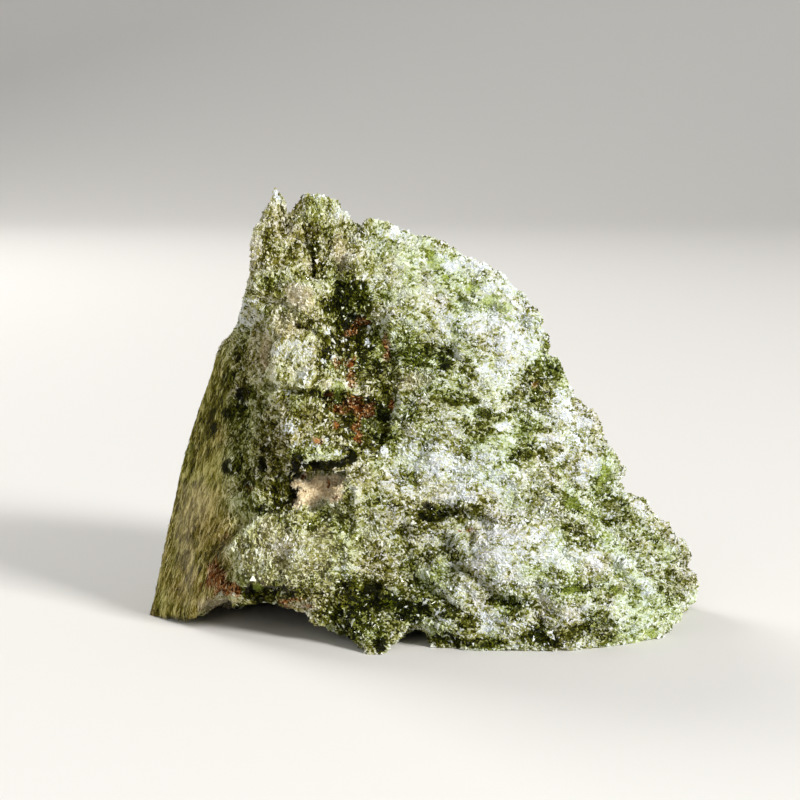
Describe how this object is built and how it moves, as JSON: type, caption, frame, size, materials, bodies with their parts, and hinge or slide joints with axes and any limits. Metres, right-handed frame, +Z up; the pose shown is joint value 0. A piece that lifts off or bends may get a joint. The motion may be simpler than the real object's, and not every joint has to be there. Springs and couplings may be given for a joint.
{
  "type": "rough diopside crystal",
  "caption": "Rough piece of green diopside: one broken lump of crystal with a flat, finely ribbed left face, standing on its widest side.",
  "frame": {"origin": "middle of the bottom of the stone's box, on the surface that it stands on", "axes": "+Z up, +X to the right along the stone's longest extent as seen from its front, -Y towards the front"},
  "size_m": [0.043, 0.0254, 0.0328],
  "materials": {
    "diopside": "rough, sugary broken crystal with small glints"
  },
  "bodies": {
    "root": {"crystal": "diopside"}
  },
  "joints": []
}
